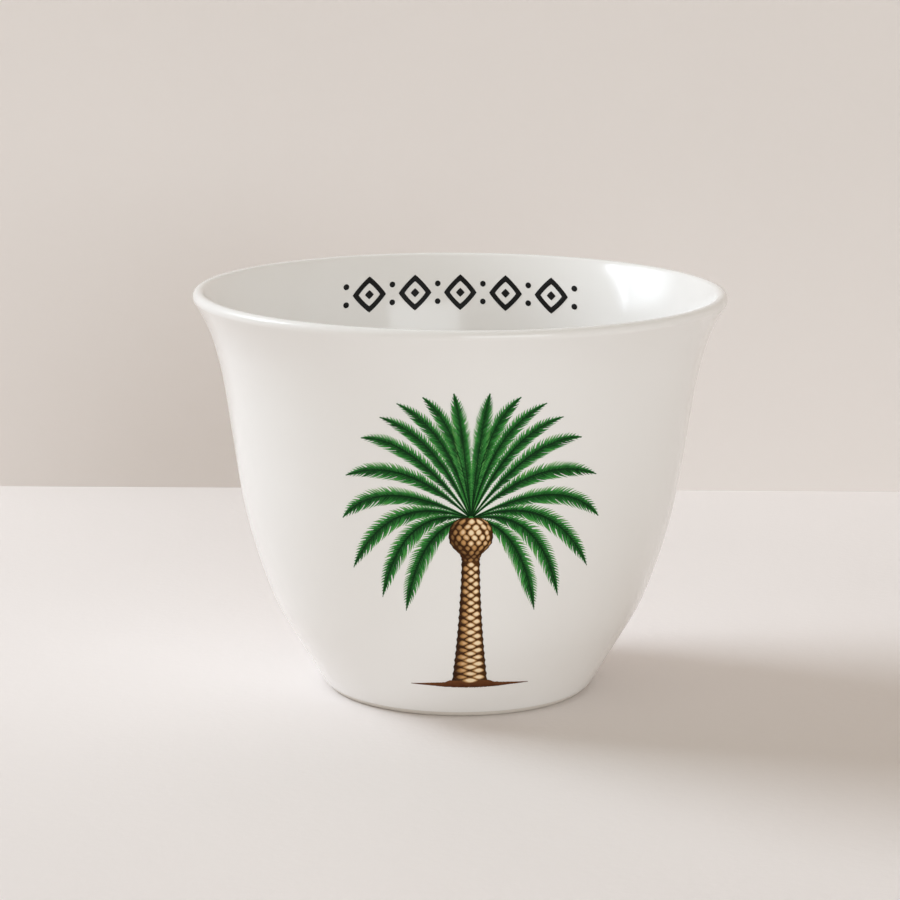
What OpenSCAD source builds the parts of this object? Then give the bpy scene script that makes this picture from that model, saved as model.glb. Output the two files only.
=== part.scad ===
// Flared porcelain coffee cup with no handle, with a date palm in fired-on colours.
// The origin is at the centre of the foot on the table, +Z is up, and the palm faces -Y.

/* [Cup] */
// Width across the rim
rim_d = 70; // [64:0.5:78]
// Height from the table to the top of the lip
cup_h = 53.2; // [50:0.2:58]
// Width across the foot
foot_d = 35; // [31:0.5:40]

/* [Wall] */
// Radius of the rounded lip
lip_r = 0.8; // [0.6:0.05:1.1]
// Thickness of the wall near the foot, with its glaze
wall_t = 2.6; // [2:0.1:3.2]
// Thickness of the floor above the foot's recess, with its glaze
floor_t = 2.8; // [2:0.1:4]
// Radius of the hollow where the floor runs into the wall
hollow_r = 8; // [5:0.5:10]

/* [Foot ring] */
// Depth of the recess under the foot
recess_h = 1.4; // [1:0.1:2]
// Width of the ring from the recess to the outside of the foot
ring_w = 2.6; // [2:0.1:3.4]
// Rounding of the ring's two edges
ring_edge_r = 0.5; // [0.3:0.05:0.6]
// Radius where the recess's wall meets its ceiling
recess_fillet_r = 0.5; // [0.3:0.05:0.6]

/* [Glaze] */
// Thickness of the glaze
glaze_t = 0.2; // [0.12:0.02:0.28]
// Height of the bare porcelain between the table and the glaze
bare_h = 0.7; // [0.6:0.05:1]

/* [Palm print] */
// Distance of the palm to the right of the cup's middle
palm_x = 1.5; // [-3:0.1:3]
// Thickness of one layer of fired-on colour
print_t = 0.06; // [0.04:0.01:0.1]
// Height of the point that the fronds spring from
crown_z = 28.9; // [27:0.1:30]
// Reach of the fronds to each side
fan_reach = 16.1; // [13:0.1:18]
// Rise of the tallest frond above the crown
fan_rise = 16.4; // [13:0.1:17]
// Width of a frond across its leaflets
frond_w = 2.4; // [1.8:0.1:3]
// Width of the dark rib along a frond
rib_w = 0.36; // [0.2:0.02:0.5]
// Leaflet teeth along each edge of a frond
frond_teeth = 12; // [6:1:14]
// Width of the round boot under the crown
boot_w = 5.6; // [4.6:0.1:6.6]
// Height of the boot
boot_h = 5.8; // [4.8:0.1:6.8]
// Height of the boot's top above the crown's point
boot_rise = 0.2; // [0:0.05:0.6]
// Width of the trunk under the boot
trunk_top_w = 2.3; // [1.8:0.1:2.8]
// Width of the trunk where it meets the ground
trunk_foot_w = 4.6; // [3.6:0.1:5.2]
// Height of one row of trunk scales
scale_row_h = 1.06; // [0.8:0.02:1.3]
// Width of one scale on the boot
boot_scale_w = 1.3; // [1:0.05:1.6]
// Gap between two scales
scale_gap = 0.12; // [0.08:0.02:0.2]
// Height of the ground line above the table
ground_z = 5.4; // [4.6:0.1:7]
// Width of the patch of ground
ground_w = 15; // [12:0.5:18]
// Thickness of the patch of ground at its middle
ground_t = 1.1; // [0.7:0.05:1.4]

/* [Inner ornament] */
// Distance from the top of the lip down to the ornament's middle line
band_drop = 5.2; // [4.8:0.1:7]
// Distance from one lozenge to the next
lozenge_pitch = 6.4; // [5.5:0.1:7]
// Width of a lozenge
lozenge_w = 4.6; // [3.6:0.1:5]
// Height of a lozenge
lozenge_h = 4.8; // [3.6:0.1:5]
// Width of a drawn line
line_w = 0.6; // [0.4:0.05:0.8]
// Lozenges in the row
lozenges = 5; // [3:1:5]

/* [Hidden] */
$fn = 180;

porcelain = [0.93, 0.92, 0.9];
glaze = [0.97, 0.965, 0.95];
frond_green = [0.14, 0.47, 0.22];
rib_green = [0.01, 0.25, 0.07];
bark_brown = [0.5, 0.28, 0.12];
scale_tan = [0.95, 0.83, 0.62];
ground_brown = [0.38, 0.19, 0.08];
band_black = [0.04, 0.04, 0.04];

// The outside of the wall is a chain of arcs that run into each other. Each station is a share
// of the height up to the lip, with the wall's lean from upright there, in degrees.
station_shares = [0, 0.175, 0.257, 0.57, 0.76, 0.887, 1];
leans = [30.7, 30.7, 21.4, 8.4, 8.4, 15.5, 33.5];
stretches = len(station_shares) - 1;
wall_step_angle = 2;
edge_step_angle = 15;

rim_r = rim_d / 2;
foot_r = foot_d / 2;
lip_c = [rim_r - lip_r, cup_h - lip_r];
wall_top_z = lip_c[1] - lip_r * sin(leans[stretches]);

// Rise of a stretch of wall, and how far it moves outwards by a share t of that rise
function rise(i) = wall_top_z * (station_shares[i + 1] - station_shares[i]);
function turn(i) = sin(leans[i + 1]) - sin(leans[i]);
function run(i, t) = turn(i) == 0
    ? rise(i) * t * tan(leans[i])
    : rise(i) / turn(i) * (cos(leans[i]) - cos(lean_at(i, t)));
function lean_at(i, t) = asin(sin(leans[i]) + t * turn(i));
function run_below(i) = i == 0 ? 0 : run_below(i - 1) + run(i - 1, 1);
function pieces(i) = max(1, ceil(abs(leans[i + 1] - leans[i]) / wall_step_angle));

// The chain is widened or narrowed a little so that it ends on the lip at any size.
function lip_start(lean) = lip_c + lip_r * [cos(lean), -sin(lean)];
function spread_to(lean) = (lip_start(lean)[0] - foot_r) / run_below(stretches);
function leaning(lean, spread) = atan(spread * tan(lean));
lip_lean = leaning(leans[stretches], spread_to(leans[stretches]));
spread = spread_to(lip_lean);
foot_lean = leaning(leans[0], spread);

// Points of the wall above its straight foot stretch, each with its outward normal
function wall_point(i, t) = [
    [foot_r + spread * (run_below(i) + run(i, t)), wall_top_z * station_shares[i] + t * rise(i)],
    let (a = leaning(lean_at(i, t), spread)) [cos(a), -sin(a)]
];
wall = [
    for (i = [1 : stretches - 1], k = [0 : pieces(i) - 1]) wall_point(i, k / pieces(i)),
    [lip_start(lip_lean), [cos(lip_lean), -sin(lip_lean)]]
];
bend_z = wall[0][0][1];

// Wall thickness: even along the foot stretch, then thinner up to the lip
function thickness(z) = wall_t + (2 * lip_r - wall_t) * (z - bend_z) / (wall_top_z - bend_z);
function outside(d) = [for (p = wall) p[0] + d * p[1]];
function inside(d) = [for (p = wall) p[0] - (thickness(p[0][1]) + d) * p[1]];
function cone_r(z, d) = foot_r + z * tan(foot_lean) + d / cos(foot_lean);
function arc(c, r, from, to, step) = let (n = max(1, ceil(abs(to - from) / step)))
    [for (k = [0 : n]) c + r * [cos(from + (to - from) * k / n), sin(from + (to - from) * k / n)]];
function backwards(list) = [for (k = [len(list) - 1 : -1 : 0]) list[k]];

// Inside of the cup: a flat floor, a hollow tangent to floor and wall, and the inner wall
floor_z = recess_h + floor_t;
inner_bend_z = bend_z + wall_t * sin(foot_lean);
hollow_fit_r = min(hollow_r, (inner_bend_z - floor_z) / (1 - sin(foot_lean)));
hollow_z = floor_z + hollow_fit_r;
hollow_c = [cone_r(hollow_z, -wall_t) - hollow_fit_r / cos(foot_lean), hollow_z];
function inner_line(d) = concat(
    [[0, floor_z - d]],
    arc(hollow_c, hollow_fit_r + d, -90, -foot_lean, edge_step_angle / 2),
    inside(-d)
);

// The foot ring's bearing edge, and the recess inside it
edge_c = [cone_r(ring_edge_r, -glaze_t) - ring_edge_r / cos(foot_lean), ring_edge_r];
recess_r = foot_r - ring_w;
recess_c = [recess_r - recess_fillet_r, recess_h - recess_fillet_r];
function recess_line(d, low) = concat(
    [[0, recess_h - d]],
    arc(recess_c, recess_fillet_r - d, 90, 0, edge_step_angle),
    [[recess_r - d, low]]
);

module turned(outline) {
    rotate_extrude()
        polygon(outline);
}

module porcelain_body() {
    color(porcelain)
        turned(concat(
            recess_line(0, ring_edge_r),
            arc([recess_r + ring_edge_r, ring_edge_r], ring_edge_r, 180, 270, edge_step_angle),
            arc(edge_c, ring_edge_r, 270, 360 - foot_lean, edge_step_angle),
            outside(-glaze_t),
            arc(lip_c, lip_r - glaze_t, -lip_lean, 180 - lip_lean, edge_step_angle),
            backwards(inner_line(glaze_t))
        ));
}

module glaze_coat() {
    glaze_edge_z = bare_h + glaze_t;
    color(glaze)
        turned(concat(
            [[cone_r(bare_h, -glaze_t), bare_h], [cone_r(glaze_edge_z, 0), glaze_edge_z]],
            outside(0),
            arc(lip_c, lip_r, -lip_lean, 180 - lip_lean, edge_step_angle),
            backwards(inner_line(0)),
            inner_line(glaze_t),
            arc(lip_c, lip_r - glaze_t, 180 - lip_lean, -lip_lean, edge_step_angle),
            backwards(outside(-glaze_t))
        ));
}

module foot_glaze() {
    color(glaze)
        turned(concat(recess_line(0, bare_h), backwards(recess_line(glaze_t, bare_h + glaze_t))));
}

// A layer of colour that follows the glaze, cut to an outline drawn in X and Z about the palm
module on_front(layer) {
    low = layer * print_t;
    high = low + print_t;
    intersection() {
        turned(concat(
            [[cone_r(bare_h, low), bare_h]],
            outside(low),
            backwards(outside(high)),
            [[cone_r(bare_h, high), bare_h]]
        ));
        rotate([90, 0, 0])
            linear_extrude(rim_d)
                translate([palm_x, 0])
                    children();
    }
}

module on_inside() {
    intersection() {
        turned(concat(inside(0), backwards(inside(print_t))));
        translate([0, rim_d, 0])
            rotate([90, 0, 0])
                linear_extrude(rim_d)
                    children();
    }
}

// Each frond springs from the crown, is drawn towards its bend and ends at its tip. These are
// shares of the fan's reach and rise, from the upright frond to the lowest one.
tip_x_shares = [0.14, 0.385, 0.585, 0.715, 0.86, 0.98, 1, 0.915, 0.685, 0.5];
tip_z_shares = [1, 0.96, 0.9, 0.78, 0.6, 0.285, -0.065, -0.47, -0.695, -0.795];
bend_x_shares = [0.06, 0.085, 0.16, 0.285, 0.465, 0.52, 0.715, 0.645, 0.545, 0.4];
bend_z_shares = [0.68, 0.745, 0.72, 0.69, 0.665, 0.525, 0.36, 0.23, 0.11, -0.035];
fronds = len(tip_x_shares);
notch_share = 0.72;
barb_share = 0.5;
rib_from_share = 0.06;
rib_to_share = 0.94;
rib_taper_share = 0.5;
rib_steps = 8;

// A frond is widest past its middle and narrows to a point at its tip
widest_power = 1.3;
point_power = 0.8;

crown = [0, crown_z];
function tip(i, side) = [side * fan_reach * tip_x_shares[i], fan_rise * tip_z_shares[i]];
function bend(i, side) = [side * fan_reach * bend_x_shares[i], fan_rise * bend_z_shares[i]];
function along(i, side, t) = crown + 2 * t * (1 - t) * bend(i, side) + t * t * tip(i, side);
function heading(i, side, t) = let (v = (1 - t) * bend(i, side) + t * (tip(i, side) - bend(i, side)))
    v / norm(v);
function beside(i, side, t, d) = let (v = heading(i, side, t)) along(i, side, t) + d * [v[1], -v[0]];
function frond_half(t) = frond_w / 2 * pow(sin(180 * pow(t, widest_power)), point_power);

// One edge of a frond, as leaflet teeth that point towards its tip
function frond_edge(i, side, hand) = [
    for (k = [1 : frond_teeth], out = [0, 1])
        let (t = (k - 0.5 + out * (1 + barb_share)) / (frond_teeth + 2))
        beside(i, side, t, hand * frond_half(t) * (out == 1 ? 1 : notch_share))
];

module frond(i, side) {
    polygon(concat(
        [crown],
        frond_edge(i, side, 1),
        [along(i, side, 1)],
        backwards(frond_edge(i, side, -1))
    ));
}

module palm_fronds() {
    color(frond_green)
        on_front(0)
            difference() {
                for (i = [0 : fronds - 1], side = [-1, 1]) frond(i, side);
                boot_outline();
            }
}

function rib_half(t) = rib_w / 2 * (1 - rib_taper_share * t);

module rib(i, side) {
    step_share = (rib_to_share - rib_from_share) / rib_steps;
    shares = [for (k = [0 : rib_steps]) rib_from_share + step_share * k];
    polygon(concat(
        [for (t = shares) beside(i, side, t, rib_half(t))],
        backwards([for (t = shares) beside(i, side, t, -rib_half(t))])
    ));
}

module palm_ribs() {
    color(rib_green)
        on_front(1)
            difference() {
                for (i = [0 : fronds - 1], side = [-1, 1]) rib(i, side);
                boot_outline();
            }
}

// The boot is round above and narrows below to the trunk. Right half, from the top down
boot_shares = [[0, 1], [0.45, 0.94], [0.76, 0.78], [0.95, 0.5], [1, 0.15], [0.94, -0.2],
               [0.75, -0.46], [0.52, -0.67], [0.43, -0.85], [0.41, -1]];
boot_c = [0, crown_z + boot_rise - boot_h / 2];

function mirrored(right) = concat(right, backwards([for (p = right) [-p[0], p[1]]]));

module boot_outline() {
    polygon([for (p = mirrored(boot_shares)) boot_c + [p[0] * boot_w / 2, p[1] * boot_h / 2]]);
}

// Trunk: narrow under the boot and wider down to the ground, with a scalloped edge
trunk_top_z = boot_c[1] - boot_h / 2;
scale_rows = round((trunk_top_z - ground_z) / scale_row_h);
row_h = (trunk_top_z - ground_z) / scale_rows;
flare_power = 1.6;
function trunk_half(z) = let (down = (trunk_top_z - z) / (trunk_top_z - ground_z))
    (trunk_top_w + (trunk_foot_w - trunk_top_w) * pow(down, flare_power)) / 2;

// Down one scale row: how far along it, and how much of half a gap the edge dips in there
scallop_shares = [[0.1, 1], [0.5, 0], [0.9, 1]];

module trunk_outline() {
    edge = [
        for (k = [0 : scale_rows - 1], s = scallop_shares)
            let (z = trunk_top_z - row_h * (k + s[0])) [trunk_half(z) - s[1] * scale_gap / 2, z]
    ];
    foot = [trunk_half(ground_z), ground_z];
    polygon(mirrored(concat([[trunk_half(trunk_top_z), trunk_top_z + row_h]], edge, [foot])));
}

module palm_trunk() {
    color(bark_brown)
        on_front(0)
            difference() {
                union() {
                    trunk_outline();
                    boot_outline();
                }
                ground_outline();
            }
}

// Scales sit on a round stem and are seen from the front, so they close up towards its edges.
// Each is a ring of corners, as shares of its half turn round the stem and of its half height.
lozenge_shares = [[-1, 0], [0, -1], [1, 0], [0, 1]];
plate_shares = [[-1, 0.1], [-0.6, -0.9], [0.6, -0.9], [1, 0.1], [0.55, 1], [-0.55, 1]];
stem_edge_angle = 66;
trunk_scale_angle = 34;
most_scale_share = 0.9;
boot_rows = 7;
boot_side_scales = 3;
boot_top_row_share = 0.84;
boot_row_h = boot_h * boot_top_row_share / (boot_rows - 0.5);

module stem_scale(shares, half, at, at_z, angle, rise) {
    clear_angle = angle - asin(scale_gap / 2 / half);
    polygon([
        for (p = shares)
            let (a = max(-stem_edge_angle, min(stem_edge_angle, at + p[0] * clear_angle)))
            [half * sin(a), at_z + p[1] * (rise - scale_gap / 2)]
    ]);
}

module trunk_scales() {
    for (k = [0 : scale_rows - 1]) {
        z = trunk_top_z - row_h * (k + 0.5);
        stem_scale(lozenge_shares, trunk_half(z), 0, z, trunk_scale_angle, row_h / 2);
    }
    for (k = [1 : scale_rows - 1], side = [-1, 1]) {
        z = trunk_top_z - row_h * k;
        at = side * trunk_scale_angle;
        stem_scale(lozenge_shares, trunk_half(z), at, z, trunk_scale_angle, row_h / 2);
    }
}

module boot_scales() {
    for (k = [0 : boot_rows - 1]) {
        z_share = boot_top_row_share - 2 * k * boot_row_h / boot_h;
        half = boot_w / 2 * lookup(z_share, [for (p = boot_shares) [p[1], p[0]]]);
        z = boot_c[1] + z_share * boot_h / 2;
        angle = asin(min(most_scale_share, boot_scale_w / 2 / half));
        for (j = [-boot_side_scales : boot_side_scales]) {
            at = (j + (k % 2) / 2) * 2 * angle;
            if (abs(at) < stem_edge_angle - angle / 3)
                stem_scale(plate_shares, half, at, z, angle, boot_row_h / 2);
        }
    }
}

module palm_scales() {
    color(scale_tan)
        on_front(1) {
            trunk_scales();
            boot_scales();
        }
}

// The ground is a thin lens with a low mound round the trunk. Right half, from the top down
ground_shares = [[0.2, 0.45], [0.33, 0.42], [0.42, 0.12], [0.68, -0.05], [1, -0.27],
                 [0.68, -0.36], [0.4, -0.5], [0.1, -0.55]];

module ground_outline() {
    polygon([for (p = mirrored(ground_shares)) [p[0] * ground_w / 2, ground_z + p[1] * ground_t]]);
}

module palm_ground() {
    color(ground_brown)
        on_front(0)
            ground_outline();
}

// One lozenge of the ornament: a frame one line wide round a filled heart
band_z = cup_h - band_drop;
heart_w = 2 * line_w;
dot_d = 1.3 * line_w;
frame_inner_share = 1 - 2 * line_w * norm([lozenge_w, lozenge_h]) / (lozenge_w * lozenge_h);

module lozenge(w, h) {
    polygon([[-w / 2, 0], [0, -h / 2], [w / 2, 0], [0, h / 2]]);
}

module framed_lozenge() {
    difference() {
        lozenge(lozenge_w, lozenge_h);
        lozenge(lozenge_w * frame_inner_share, lozenge_h * frame_inner_share);
    }
    lozenge(heart_w, heart_w);
}

module inner_band() {
    color(band_black)
        on_inside() {
            for (k = [0 : lozenges - 1])
                translate([(k - (lozenges - 1) / 2) * lozenge_pitch, band_z])
                    framed_lozenge();
            for (k = [0 : lozenges], side = [-1, 1])
                translate([(k - lozenges / 2) * lozenge_pitch, band_z + side * lozenge_h / 4])
                    circle(d = dot_d);
        }
}

porcelain_body();
glaze_coat();
foot_glaze();
palm_fronds();
palm_ribs();
palm_trunk();
palm_scales();
palm_ground();
inner_band();
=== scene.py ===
"""A flared porcelain coffee cup: glaze, a fired-on date palm, an ornament inside and a studio set.

Lengths are in metres, +Z is up, and the palm faces -Y, as in the frame that is loaded below.
Prints are drawn as seen from the front, in X and Z, and are then laid on the cup's curved wall.
"""

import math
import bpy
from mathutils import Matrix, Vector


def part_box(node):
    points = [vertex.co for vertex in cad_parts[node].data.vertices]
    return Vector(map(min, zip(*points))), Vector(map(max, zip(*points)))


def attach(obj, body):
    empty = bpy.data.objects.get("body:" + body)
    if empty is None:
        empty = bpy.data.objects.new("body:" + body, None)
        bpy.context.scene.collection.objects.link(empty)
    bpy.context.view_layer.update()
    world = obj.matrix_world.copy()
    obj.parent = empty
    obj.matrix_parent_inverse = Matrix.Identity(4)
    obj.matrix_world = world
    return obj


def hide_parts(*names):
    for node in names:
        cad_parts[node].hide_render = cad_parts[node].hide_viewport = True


bl_info = {
    "name": "Porcelain Coffee Cup",
    "version": (1, 0, 0),
    "blender": (4, 5, 0),
    "location": "View3D > Sidebar > Coffee Cup",
    "description": "Builds a glazed coffee cup with a fired-on date palm, in a small studio set",
    "category": "Object",
}

import bpy
import numpy as np
from bpy.props import (
    FloatProperty,
    FloatVectorProperty,
    IntProperty,
    PointerProperty,
)
from mathutils import Matrix, Vector

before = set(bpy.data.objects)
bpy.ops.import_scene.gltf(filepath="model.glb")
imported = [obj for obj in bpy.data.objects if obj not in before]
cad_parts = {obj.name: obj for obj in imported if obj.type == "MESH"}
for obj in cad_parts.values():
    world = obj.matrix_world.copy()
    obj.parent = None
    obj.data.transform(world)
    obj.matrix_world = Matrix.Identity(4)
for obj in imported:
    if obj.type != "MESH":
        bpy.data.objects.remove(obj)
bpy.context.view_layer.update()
_, GLAZE_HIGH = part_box("glaze_coat")

MM = 0.001

# The wall's lean from upright, in degrees, at shares of the height up to the lip
STATION_SHARES = (0, 0.175, 0.257, 0.57, 0.76, 0.887, 1)
LEANS = (30.7, 30.7, 21.4, 8.4, 8.4, 15.5, 33.5)
WALL_STEPS = 1601
WALL_RINGS = 90
HOLLOW_RINGS = 18
ARC_RINGS = 9
SEGMENTS = 192
FRAME_POINTS = 64
DOT_POINTS = 24
PILLOW_POINTS = 14
LEAST_STEP = 0.01 * MM

# Ribs of the fronds, from the upright one to the lowest, as shares of the fan's reach and rise
TIP_X_SHARES = (0.14, 0.385, 0.585, 0.715, 0.86, 0.98, 1, 0.915, 0.685, 0.5)
TIP_Z_SHARES = (1, 0.96, 0.9, 0.78, 0.6, 0.285, -0.065, -0.47, -0.695, -0.795)
BEND_X_SHARES = (0.06, 0.085, 0.16, 0.285, 0.465, 0.52, 0.715, 0.645, 0.545, 0.4)
BEND_Z_SHARES = (0.68, 0.745, 0.72, 0.69, 0.665, 0.525, 0.36, 0.23, 0.11, -0.035)
FROND_ORDER = np.tile(np.arange(len(TIP_X_SHARES)), 2)

# A frond's half width at the share t of its rib is a sine of t to the widest power, taken to the
# point power less t times the tip's fullness, and times 1 less t to the tip power
WIDEST_POWER = 1.3
POINT_POWER = 0.8
TIP_FULLNESS = 0.27
TIP_POWER = 24

# Leaflets: the places of a blade's cross-sections, its bow, and its angle to the rib in degrees,
# which closes towards the frond's tip and opens on the outer side
BLADE_PLACES = (0.03, 0.33, 0.62, 0.86)
BLADE_BOW = 0.1
BLADE_ANGLE = 56
BLADE_CLOSING = 24
BLADE_OPENING = 9

# Half width of a blade, as a share of the distance between leaflets. A short blade is narrower,
# in proportion to its reach times the second number over the frond's width, down to the third
BLADE_HALF = 0.4
BLADE_FULL = 3.2
BLADE_LEAST = 0.2

# Random spreads of the leaflets: reach, angle and width as factors, height as a share of the
# print's thickness, and tint
REACH_SPREAD = (0.92, 1.08)
ANGLE_SPREAD = (0.97, 1.03)
WIDTH_SPREAD = (0.8, 1.15)
STOREY_SPREAD = 0.05
TINT_SPREAD = 0.16

# A leaflet's tone: at its root, the gain towards its tip and that gain's power, how far the
# shortest ones get on the way, and what its upper side, its edges and its ridge add
ROOT_TONE = 0.03
TIP_TONE = 0.78
TONE_POWER = 1.4
SHORT_TONE = 0.4
UPPER_TONE = 0.16
EDGE_TONE = -0.1
RIDGE_TONE = 0.12

# Shares of a frond's length that its leaflets, its dense middle and its rib run over
LEAFLETS_RUN = (0.07, 0.985)
BASE_RUN = (0.01, 0.985)
RIB_RUN = (0.02, 0.97)

# The dense middle of a frond, as a share of its width, and how much it is widened where the
# fronds merge at the crown, in the upright ones and in the others
BASE_SHARE = 0.42
BASE_LEVELS = 48
UPRIGHT_FRONDS = 3
MERGED_UPRIGHT = 0.26 * MM
MERGED_OTHERS = 0.08 * MM

# How crowded the fronds are at the crown: from the upright one, less by a step each, to the least
CROWDED = 1.3
CROWDED_STEP = 0.3
CROWDED_LEAST = 0.15

# Tone of a dense middle: along the rib, the gain towards its sides, and more where it is crowded
MIDDLE_TONE = 0.06
SIDE_TONE = 0.3
CROWDED_TONE = 0.16

# A rib: its cross-sections, the share of its width that it loses up to the tip, and its width
# at the crown, as a share, from where it grows to the whole at a share of its length
RIB_LEVELS = 40
RIB_TAPER = 0.8
RIB_START = 0.4
RIB_FULL_FROM = 0.35

# As shares of the print's thickness: how high leaflets and dense middles lie, less a step for
# each frond from the upright one down, a leaflet's ridge above its edges, and the underside of
# every print, which is sunk into the glaze
LEAFLET_STOREY = 0.62
BASE_STOREY = 0.58
STOREY_STEP = 0.05
LEAFLET_RIDGE = 0.15
SUNK_SHARE = -0.2

# Reflection: the glaze's refractive index, and the specular level of the fired-on colours
GLAZE_IOR = 1.5
PRINT_GLOSS = 0.12

# Seeds of the random draws
LEAFLET_SEED = 11
SCALE_SEED = 5
GROUND_SEED = 3

# Width of each frond, as a share of the usual one, and how much of it is drawn next to the
# crown, from where it grows to the whole at a share of the frond's length
WIDTH_SHARES = (0.9, 0.84, 0.8, 0.8, 0.88, 0.97, 1.02, 1.05, 1.09, 1.12)
SLIM_SHARES = (0.95, 0.85, 0.75, 0.68, 0.64, 0.64, 0.7, 0.76, 0.78, 0.8)
SLIM_UP_TO = 0.45

# Half width of the boot, at shares of its half height from the foot up
BOOT_Z_SHARES = (-1, -0.85, -0.67, -0.46, -0.2, 0.15, 0.5, 0.78, 0.94, 1)
BOOT_W_SHARES = (0.41, 0.43, 0.52, 0.75, 0.94, 1, 0.95, 0.78, 0.5, 0.15)

# Rows of plates on the boot from the top down: heights, as shares of its half height, and lights
BOOT_ROW_SHARES = (0.79, 0.54, 0.3, 0.06, -0.18, -0.41, -0.62, -0.8, -0.96)
BOOT_ROW_LIGHTS = (1, 1, 1, 0.96, 0.8, 0.55, 0.35, 0.26, 0.3)
BOOT_SIDE_PLATES = 4

# The bark: how far it reaches below the ground's line, stops short of the boot's top, and
# keeps the trunk's width above the trunk's top
TRUNK_SUNK = 0.2 * MM
BOOT_TRIM = 0.1 * MM
NECK_RISE = 0.4 * MM

# The bark: how deep it dips in between two scales, as a share of their gap, how much thinner it
# is at its sides, and how light it is painted
DENT_SHARE = 0.7
BARK_THINNING = 0.3
BARK_LIGHT = 0.8

# The trunk's flare, angles round the stem, where its scales end, of one scale and of the painted
# light, and how light its shadow side is
FLARE_POWER = 1.6
STEM_EDGE_ANGLE = math.radians(68)
SCALE_ANGLE = math.radians(34)
STEM_LIGHT_ANGLE = math.radians(20)
STEM_SHADOW = 0.16

# Scales: heights of their edge and middle, as shares of the print's thickness, the powers of
# their outlines on the trunk and on the boot, and the spread of their tint
SCALE_LOW = 0.9
SCALE_HIGH = 1.8
SCALE_POWER = 1.45
PLATE_POWER = 1.7
SCALE_TINT = 0.07

# Rings of a pillow from its edge in: sizes, rises and tones. The tones fall off round a bright
# place, which lies at these shares of the pillow's half width and half height
PILLOW_SIZES = (1, 0.84, 0.6, 0.3)
PILLOW_RISES = (0, 0.6, 0.9, 1)
PILLOW_TONES = (0.08, 0.28, 0.8, 1.08)
BRIGHT_PLACE = (0.15, 0.25)

# The patch of ground: height of its two edges, at shares of its half width, its cross-sections,
# the share of its half width where the last ones stand, and how ragged its edges are
GROUND_X_SHARES = (-1, -0.68, -0.42, -0.33, -0.2, 0.2, 0.33, 0.42, 0.68, 1)
GROUND_TOP_SHARES = (-0.27, -0.05, 0.12, 0.42, 0.45, 0.45, 0.42, 0.12, -0.05, -0.27)
GROUND_LOW_SHARES = (-0.27, -0.36, -0.49, -0.51, -0.54, -0.54, -0.51, -0.49, -0.36, -0.27)
GROUND_LEVELS = 150
GROUND_END = 0.995
GROUND_ROUGHNESS = 0.03

# Inside the cup: the power of the lozenges' outline, a dot's size as a share of a heart's, and
# the rings of hearts and dots from the edge in
LOZENGE_POWER = 1.12
DOT_SHARE = 0.65
DOT_SIZES = (1, 1, 0.85, 0.5)
DOT_RISES = (SUNK_SHARE, 0.6, 0.9, 1)

# The lights: the key stands at the left, behind the wall's plane, and shines in a narrow spread.
# The colour beyond the stage is what the camera and reflections see there
KEY_PLACE = (-0.79, 0.284, 0.59)
KEY_SIZE = 0.52
KEY_SPREAD = math.radians(80)
KEY_COLOUR = (0.82, 0.91, 1)
FILL_PLACE = (0.4, -1.12, 0.21)
FILL_SIZE = 0.8
FILL_COLOUR = (0.875, 0.94, 1)
AMBIENT_COLOUR = (1, 0.87, 0.69)
BEYOND_COLOUR = (0.71, 0.65, 0.61)

# The stage: its half width, and its plaster, darkened by slow mottles to a share of its colour
STAGE_REACH = 9.0
FLOOR_MOTTLE = 0.94
WALL_MOTTLE = 0.96
MOTTLE_SCALE = 14
PLASTER_GRAIN_SCALE = 900
PLASTER_ROUGHNESS = 0.85

# The camera as fitted to the photograph: place, turn, tilt and roll
CAMERA_DISTANCE = 389.25 * MM
CAMERA_HEIGHT = 111.37 * MM
CAMERA_YAW = -0.0031656
CAMERA_PITCH = 0.202279
CAMERA_ROLL = 0.0056782
FOCAL_PX = 2995.29
PHOTO_PX = 900
SENSOR_MM = 36


def length(name, description, default, **limits):
    """A length that can be changed."""
    return FloatProperty(
        name=name, description=description, default=default, unit="LENGTH", **limits
    )


def colour(name, description, default):
    """A colour that can be changed."""
    return FloatVectorProperty(
        name=name, description=description, default=default, subtype="COLOR"
    )


class CupShape(bpy.types.PropertyGroup):
    """Sizes of the fired cup and its glaze."""

    rim_width: length("Rim width", "Width across the rim", 2 * GLAZE_HIGH.x, min=60 * MM)
    height: length(
        "Height", "Height from the table to the top of the lip", GLAZE_HIGH.z, min=45 * MM
    )
    foot_width: length("Foot width", "Width across the foot", 35 * MM, min=30 * MM)
    lip_radius: length("Lip radius", "Radius of the rounded lip", 0.8 * MM, min=0.4 * MM)
    wall_thickness: length(
        "Wall thickness",
        "Thickness of the wall near the foot, with its glaze",
        2.6 * MM,
        min=1.6 * MM,
    )
    floor_thickness: length(
        "Floor thickness",
        "Thickness of the floor above the recess, with its glaze",
        2.8 * MM,
        min=1.6 * MM,
    )
    hollow_radius: length(
        "Hollow radius", "Radius where the floor runs into the wall", 8 * MM, min=4 * MM
    )
    recess_depth: length(
        "Recess depth", "Depth of the recess under the foot", 1.4 * MM, min=0.8 * MM
    )
    ring_width: length(
        "Foot ring width",
        "Width of the ring from the recess to the outside of the foot",
        2.6 * MM,
        min=1.8 * MM,
    )
    edge_radius: length(
        "Edge radius",
        "Rounding of the foot ring's edges and of the recess's corner",
        0.5 * MM,
        min=0.2 * MM,
    )
    glaze_thickness: length("Glaze thickness", "Thickness of the glaze", 0.2 * MM, min=0.1 * MM)
    bare_height: length(
        "Bare height",
        "Height of the bare porcelain between the table and the glaze",
        0.7 * MM,
        min=0.6 * MM,
    )


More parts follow.
